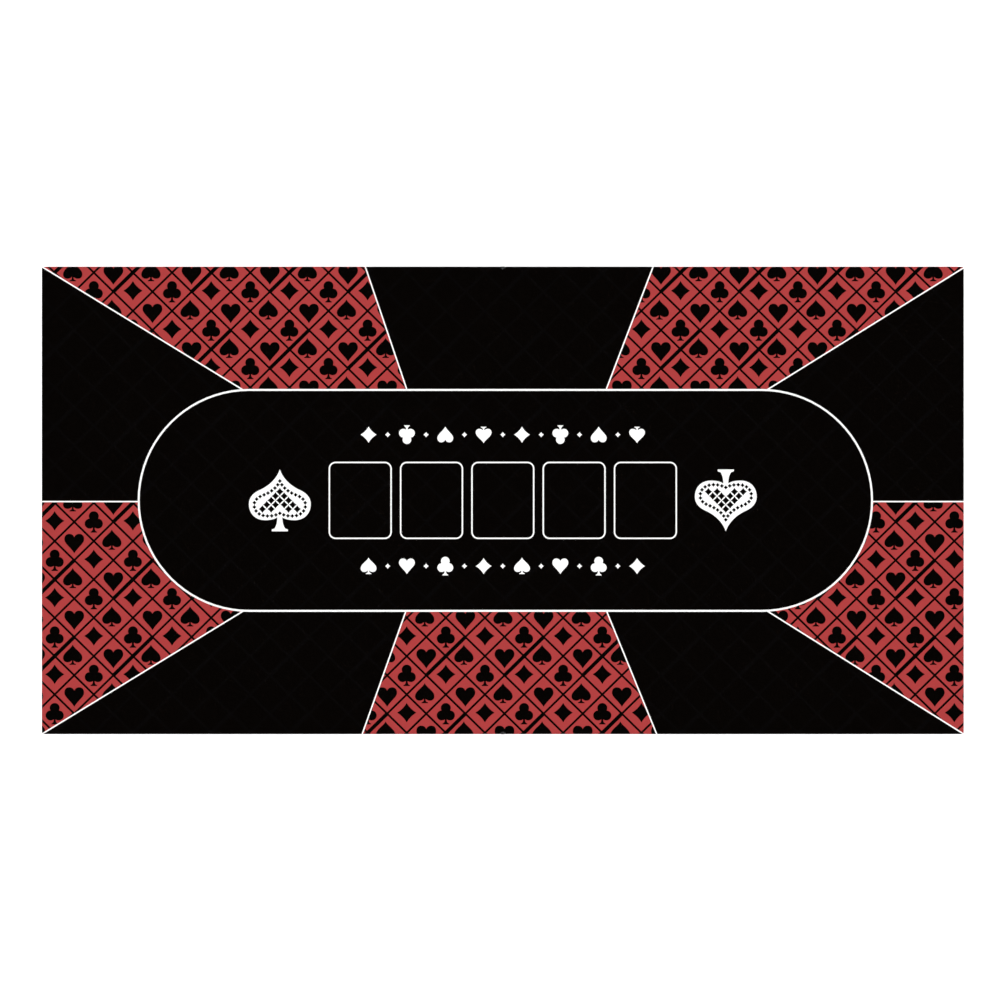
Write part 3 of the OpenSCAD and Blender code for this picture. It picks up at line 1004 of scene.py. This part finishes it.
def board_material():
    """Plywood with its grain along the table, sealed with black paint near its cut edges."""
    made, tree, shader = new_material("sealed_plywood")
    place = place_in(tree, "object")
    axes = add(tree, "SeparateXYZ", Vector=place)
    edge_y = calc(tree, "GREATER_THAN", calc(tree, "ABSOLUTE", axes.outputs["Y"]), (HALF_W - 9) * MM)
    edge_in = calc(tree, "LESS_THAN", calc(tree, "ABSOLUTE", axes.outputs["X"]), 12 * MM)
    edge_out = calc(tree, "GREATER_THAN", calc(tree, "ABSOLUTE", axes.outputs["X"]), (HALF_L - 9) * MM)
    painted = calc(tree, "MAXIMUM", calc(tree, "MAXIMUM", edge_y, edge_in), edge_out)
    along_grain = add(tree, "Mapping", Vector=place, Scale=(0.05, 1, 1)).outputs["Vector"]
    fibres = speckle(tree, along_grain, 500, 6)
    wood = tints(tree, spread(tree, fibres, 0, 1, 0.3, 0.7), (0.42, 0.27, 0.14), (0.60, 0.43, 0.26))
    coated = add(tree, "Mix", {"data_type": "RGBA"})
    join(tree, coated.inputs["Factor"], painted)
    join(tree, coated.inputs[6], wood)
    join(tree, coated.inputs[7], (0.006, 0.006, 0.006, 1))
    join(tree, shader.inputs["Base Color"], coated.outputs[2])
    join(tree, shader.inputs["Roughness"], spread(tree, fibres, 0.6, 0.85))
    dent(tree, shader, fibres, 0.0001)
    return made


def plated_material(name, dark, light, rough):
    """Plated steel: slight clouding of the plating, and fine tumbling marks."""
    made, tree, shader = new_material(name)
    place = place_in(tree, "object")
    cloud = speckle(tree, place, 160, 4)
    marks = add(tree, "TexVoronoi", {"feature": "DISTANCE_TO_EDGE"}, Vector=place, Scale=900.0)
    scratch = spread(tree, marks.outputs["Distance"], 1, 0, 0.0, 0.15)
    colour = tints(tree, spread(tree, cloud, 0, 1, 0.3, 0.7), dark, light)
    join(tree, shader.inputs["Base Color"], colour)
    join(tree, shader.inputs["Roughness"], spread(tree, cloud, rough - 0.08, rough + 0.12, 0.3, 0.7))
    shader.inputs["Metallic"].default_value = 1.0
    dent(tree, shader, calc(tree, "MULTIPLY_ADD", scratch, 0.3, cloud), 0.00003)
    return made


def make_materials():
    return {
        "inks": [
            ink_material("cloth_black", (0.0008, 0.0004, 0.0002), 0.85, 0.01, 0.003),
            ink_material("cloth_tonal", (0.0011, 0.0008, 0.0008), 0.8, 0.012, 0.003),
            ink_material("cloth_white", (0.74, 0.74, 0.735), 0.85, 0.2, 0.05),
            ink_material("cloth_red", (0.284, 0.0305, 0.0303), 0.85, 0.08, 0.08),
        ],
        "foam": grained(
            "pad_foam", (0.02, 0.02, 0.022), (0.05, 0.05, 0.053), 0.9, 1500, 0.0003, specular=0.2
        ),
        "backing": nonwoven_material(),
        "board": board_material(),
        "edge_band": grained(
            "edge_band_abs", (0.008, 0.008, 0.008), (0.018, 0.018, 0.018), 0.5, 1800, 0.00005
        ),
        "staple_wire": plated_material(
            "galvanised_wire", (0.42, 0.43, 0.44), (0.62, 0.63, 0.64), 0.4
        ),
        "foot_rubber": grained(
            "foot_rubber", (0.008, 0.008, 0.008), (0.025, 0.024, 0.023), 0.75, 1400, 0.0001
        ),
        "plated_steel": plated_material("zinc_steel", (0.50, 0.50, 0.49), (0.68, 0.68, 0.66), 0.3),
        "black_steel": grained(
            "black_powder_coat", (0.005, 0.005, 0.0055), (0.012, 0.012, 0.0125), 0.45, 1100, 0.00012,
            specular=0.35,
        ),
        "rivet_steel": plated_material(
            "rivet_steel", (0.03, 0.03, 0.032), (0.07, 0.07, 0.073), 0.4
        ),
        "black_screws": grained(
            "black_oxide", (0.01, 0.01, 0.011), (0.03, 0.03, 0.032), 0.38, 900, 0.00004, metallic=0.8
        ),
        "nylon": grained(
            "nylon_washer", (0.010, 0.010, 0.010), (0.022, 0.022, 0.022), 0.45, 600, 0.00003
        ),
        "handle_plastic": grained(
            "handle_nylon", (0.010, 0.010, 0.011), (0.024, 0.024, 0.026), 0.5, 1100, 0.0001
        ),
        "grip_rubber": grained(
            "grip_rubber", (0.007, 0.007, 0.007), (0.016, 0.016, 0.016), 0.8, 1500, 0.00012
        ),
    }


# ---- CAD nodes that stay ----

HARDWARE = {
    "board": "board", "seam_band": "edge_band", "staples": "staple_wire", "feet": "foot_rubber",
    "foot_washers": "plated_steel", "foot_screws": "plated_steel", "handle_brackets": "black_steel",
    "handle_screws": "black_screws", "handle_pins": "plated_steel", "handle": "handle_plastic",
    "handle_grip": "grip_rubber", "hinge_screws": "black_screws", "left_leaf": "black_steel",
    "right_leaf": "black_steel", "rivet": "rivet_steel", "washer": "nylon",
}
SOFTENED = {
    "seam_band": 0.2, "handle_brackets": 0.2, "handle_pins": 0.15, "left_leaf": 0.25, "right_leaf": 0.25,
    "rivet": 0.12, "feet": 0.3, "foot_washers": 0.1, "handle": 0.2,
}


def dress_hardware(materials):
    for name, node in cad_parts.items():
        kind = next((k for k in sorted(HARDWARE, key=len, reverse=True) if name.endswith("_" + k)), None)
        if kind is None:
            continue
        if node.material_slots:
            for place in node.material_slots:
                place.material = materials[HARDWARE[kind]]
        else:
            node.data.materials.append(materials[HARDWARE[kind]])
        if kind in SOFTENED:
            weld = node.modifiers.new("joined_faces", "WELD")
            weld.merge_threshold = 0.01 * MM
            bevel = node.modifiers.new("softened_edges", "BEVEL")
            bevel.width = SOFTENED[kind] * MM
            bevel.segments = 2
            bevel.limit_method = "ANGLE"
            bevel.angle_limit = math.radians(40)
            bevel.harden_normals = True


# ---- putting the soft pieces on the frame ----


def dress_soft(materials):
    cloth = make_cloth(materials["inks"])
    for side in SIDE_SIGN:
        piece = cloth["cloth_" + side]
        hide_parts(f"{side}_cloth")
        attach(piece, f"{side}_half")
        pad = make_pad(side, materials["foam"])
        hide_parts(f"{side}_foam")
        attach(pad, f"{side}_half")
        sheet = make_backing(side, materials["backing"])
        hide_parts(f"{side}_backing")
        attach(sheet, f"{side}_half")
    strip = cloth["cloth_fold"]
    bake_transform(strip)


# ---- floor, light and camera ----


def make_floor():
    """A round studio floor that curves up into a wall all round, so that no horizon shows."""
    flat_r, bend_r, top = 6.5, 3.0, 7.0
    bend_steps, sides = 16, 96
    profile = [(0.0, 0.0), (flat_r * 0.5, 0.0)]
    for i in range(bend_steps + 1):
        a = math.pi / 2 * i / bend_steps
        profile.append((flat_r + bend_r * math.sin(a), bend_r * (1 - math.cos(a))))
    profile.append((flat_r + bend_r, top))
    turns = [2 * math.pi * i / sides for i in range(sides)]
    points = [(r * math.cos(a), r * math.sin(a), z) for r, z in profile for a in turns]
    faces = []
    for inner in range(0, len(points) - sides, sides):
        outer = inner + sides
        for i in range(sides):
            j = (i + 1) % sides
            faces.append((inner + i, outer + i, outer + j, inner + j))
    mesh = bpy.data.meshes.new("studio_floor")
    mesh.from_pydata(points, [], faces)
    mesh.shade_smooth()
    made, tree, shader = new_material("studio_floor")
    place = place_in(tree, "object")
    patch = speckle(tree, place, 3, 3)
    join(tree, shader.inputs["Base Color"], tints(tree, patch, (0.90, 0.90, 0.90), (0.93, 0.93, 0.93)))
    shader.inputs["Roughness"].default_value = 0.9
    shader.inputs["Emission Color"].default_value = (1, 1, 1, 1)
    shader.inputs["Emission Strength"].default_value = 0.35
    mesh.materials.append(made)
    floor = bpy.data.objects.new("studio_floor", mesh)
    floor.location.z = -0.0005
    bpy.context.scene.collection.objects.link(floor)
    floor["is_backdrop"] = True


def make_light(name, place, size, watts):
    lamp = bpy.data.lights.new(name, "AREA")
    lamp.shape = "SQUARE"
    lamp.size = size
    lamp.energy = watts
    made = bpy.data.objects.new(name, lamp)
    made.location = place
    made.rotation_euler = (-Vector(place)).to_track_quat("-Z", "Y").to_euler()
    bpy.context.scene.collection.objects.link(made)
    made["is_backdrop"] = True


def make_studio():
    make_floor()
    for i, (x, y) in enumerate(CORNERS):
        make_light(f"softbox_{i + 1}", (4.2 * x, 3.6 * y, 5.2), size=2.6, watts=200)
    world = bpy.data.worlds.new("studio")
    world.use_nodes = True
    background = world.node_tree.nodes["Background"]
    background.inputs["Color"].default_value = (1, 1, 1, 1)
    background.inputs["Strength"].default_value = 0.25
    bpy.context.scene.world = world
    bpy.context.scene.view_settings.view_transform = "Standard"


CAMERA_LENS = 135.0
CAMERA_SENSOR = 36.0
VIEW_WIDTH = 1955.3
CAMERA_SHIFT = (-5.5, 0.75)


def make_camera():
    camera = bpy.data.cameras.new("camera")
    camera.lens = CAMERA_LENS
    camera.sensor_width = CAMERA_SENSOR
    camera.clip_end = 100
    made = bpy.data.objects.new("camera", camera)
    height = VIEW_WIDTH * CAMERA_LENS / CAMERA_SENSOR + FACE_Z
    made.location = Vector((*CAMERA_SHIFT, height)) * MM
    bpy.context.scene.collection.objects.link(made)
    bpy.context.scene.camera = made


materials = make_materials()
dress_hardware(materials)
dress_soft(materials)
make_studio()
make_camera()

bpy.context.view_layer.update()
box_at_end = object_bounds()
[[list(corner) for corner in box] for box in (box_at_load, box_at_end)]
